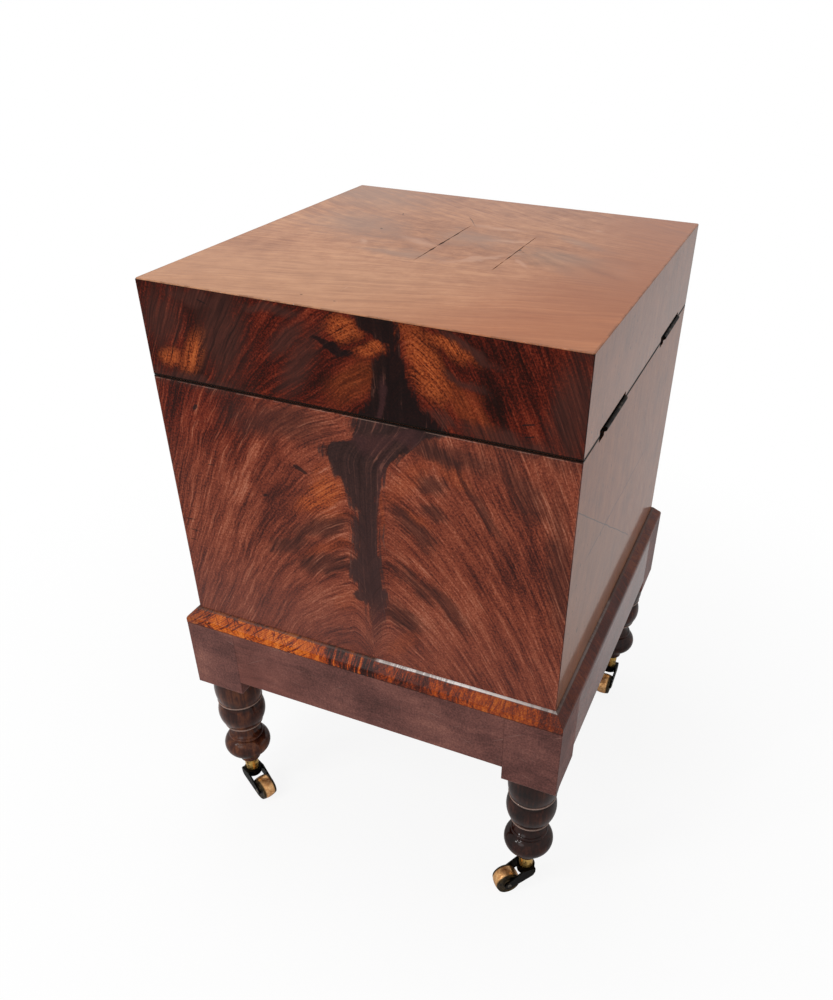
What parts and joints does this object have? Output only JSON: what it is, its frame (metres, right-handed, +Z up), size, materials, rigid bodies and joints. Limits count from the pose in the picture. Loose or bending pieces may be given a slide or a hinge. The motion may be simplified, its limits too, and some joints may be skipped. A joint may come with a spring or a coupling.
{
  "type": "cellarette",
  "caption": "Square lift-lid wine box on a low stand with bobbin-turned legs and brass swivel castors; hinged lid, box lock and divided interior for bottles.",
  "frame": {"origin": "on the floor, under the middle of the stand", "axes": "+Z up; the lock side is the front and faces -Y; the hinges are at the back, +Y; +X is the right side"},
  "size_m": [0.4783, 0.47, 0.711],
  "materials": {
    "flame_veneer": "polished flame mahogany veneer",
    "top_veneer": "polished, sun-faded mahogany veneer",
    "carcase_mahogany": "plain mahogany board, waxed inside",
    "division_mahogany": "thin mahogany board, waxed",
    "zinc_sheet": "dull zinc sheet",
    "crossband_veneer": "polished cross-banded mahogany",
    "stand_veneer": "polished dark mahogany",
    "leg_mahogany": "turned dark mahogany, polished",
    "castor_tread_brass": "worn brass with a dark patina",
    "castor_brass": "cast brass with a dark patina",
    "axle_iron": "riveted iron pin",
    "hinge_brass": "dark patinated brass",
    "screw_iron": "slotted iron screws",
    "escutcheon_brass": "polished brass",
    "lock_brass": "satin brass"
  },
  "bodies": {
    "box_and_stand": {"bottle_division_back": "division_mahogany", "bottle_division_front": "division_mahogany", "bottle_division_left": "division_mahogany", "bottle_division_right": "division_mahogany", "case_back_board": "carcase_mahogany", "case_bottom_board": "carcase_mahogany", "case_front_board": "carcase_mahogany", "case_left_board": "carcase_mahogany", "case_liner": "zinc_sheet", "case_right_board": "carcase_mahogany", "case_screws": "screw_iron", "case_side_veneers": "flame_veneer", "castor_socket_back_left": "castor_brass", "castor_socket_back_right": "castor_brass", "castor_socket_front_left": "castor_brass", "castor_socket_front_right": "castor_brass", "hinge_case_leaf_left": "hinge_brass", "hinge_case_leaf_right": "hinge_brass", "hinge_pins": "hinge_brass", "keyhole_escutcheon": "escutcheon_brass", "leg_back_left": "leg_mahogany", "leg_back_right": "leg_mahogany", "leg_front_left": "leg_mahogany", "leg_front_right": "leg_mahogany", "lock_case": "lock_brass", "stand_back_moulding": "crossband_veneer", "stand_back_rail": "stand_veneer", "stand_front_moulding": "crossband_veneer", "stand_front_rail": "stand_veneer", "stand_left_moulding": "crossband_veneer", "stand_left_rail": "stand_veneer", "stand_right_moulding": "crossband_veneer", "stand_right_rail": "stand_veneer"},
    "lid": {"hinge_lid_leaf_left": "hinge_brass", "hinge_lid_leaf_right": "hinge_brass", "lid_back_board": "carcase_mahogany", "lid_front_board": "carcase_mahogany", "lid_left_board": "carcase_mahogany", "lid_right_board": "carcase_mahogany", "lid_screws": "screw_iron", "lid_side_veneers": "flame_veneer", "lid_top_board": "carcase_mahogany", "lid_top_veneer": "top_veneer", "lock_link_plate": "lock_brass"},
    "lock_bolt": {"lock_bolt": "lock_brass"},
    "castor_front_right": {"castor_fork_front_right": "castor_brass", "castor_axle_front_right": "axle_iron"},
    "wheel_front_right": {"castor_wheel_front_right": "castor_tread_brass"},
    "castor_back_right": {"castor_fork_back_right": "castor_brass", "castor_axle_back_right": "axle_iron"},
    "wheel_back_right": {"castor_wheel_back_right": "castor_tread_brass"},
    "castor_back_left": {"castor_fork_back_left": "castor_brass", "castor_axle_back_left": "axle_iron"},
    "wheel_back_left": {"castor_wheel_back_left": "castor_tread_brass"},
    "castor_front_left": {"castor_fork_front_left": "castor_brass", "castor_axle_front_left": "axle_iron"},
    "wheel_front_left": {"castor_wheel_front_left": "castor_tread_brass"}
  },
  "joints": [
    {"name": "lid_hinge", "type": "hinge", "parent": "box_and_stand", "child": "lid", "pos_m": [0, 0.2222, 0.616], "axis": [-1, 0, 0], "range_deg": [0, 95]},
    {"name": "lock_bolt_slide", "type": "slide", "parent": "box_and_stand", "child": "lock_bolt", "axis": [1, 0, 0], "range_m": [0, 0.008]},
    {"name": "swivel_front_right", "type": "hinge", "parent": "box_and_stand", "child": "castor_front_right", "pos_m": [0.206, -0.203, 0.037], "axis": [0, 0, 1], "continuous": true},
    {"name": "roll_front_right", "type": "hinge", "parent": "castor_front_right", "child": "wheel_front_right", "pos_m": [0.21657, -0.17925, 0.016], "axis": [-0.9135, 0.4067, 0], "continuous": true},
    {"name": "swivel_back_right", "type": "hinge", "parent": "box_and_stand", "child": "castor_back_right", "pos_m": [0.206, 0.2005, 0.037], "axis": [0, 0, 1], "continuous": true},
    {"name": "roll_back_right", "type": "hinge", "parent": "castor_back_right", "child": "wheel_back_right", "pos_m": [0.2234, 0.18118, 0.016], "axis": [0.7431, 0.6691, 0], "continuous": true},
    {"name": "swivel_back_left", "type": "hinge", "parent": "box_and_stand", "child": "castor_back_left", "pos_m": [-0.206, 0.2005, 0.037], "axis": [0, 0, 1], "continuous": true},
    {"name": "roll_back_left", "type": "hinge", "parent": "castor_back_left", "child": "wheel_back_left", "pos_m": [-0.18, 0.20005, 0.016], "axis": [0.0175, 0.9998, 0], "continuous": true},
    {"name": "swivel_front_left", "type": "hinge", "parent": "box_and_stand", "child": "castor_front_left", "pos_m": [-0.206, -0.203, 0.037], "axis": [0, 0, 1], "continuous": true},
    {"name": "roll_front_left", "type": "hinge", "parent": "castor_front_left", "child": "wheel_front_left", "pos_m": [-0.21052, -0.17739, 0.016], "axis": [-0.9848, -0.1736, 0], "continuous": true}
  ]
}
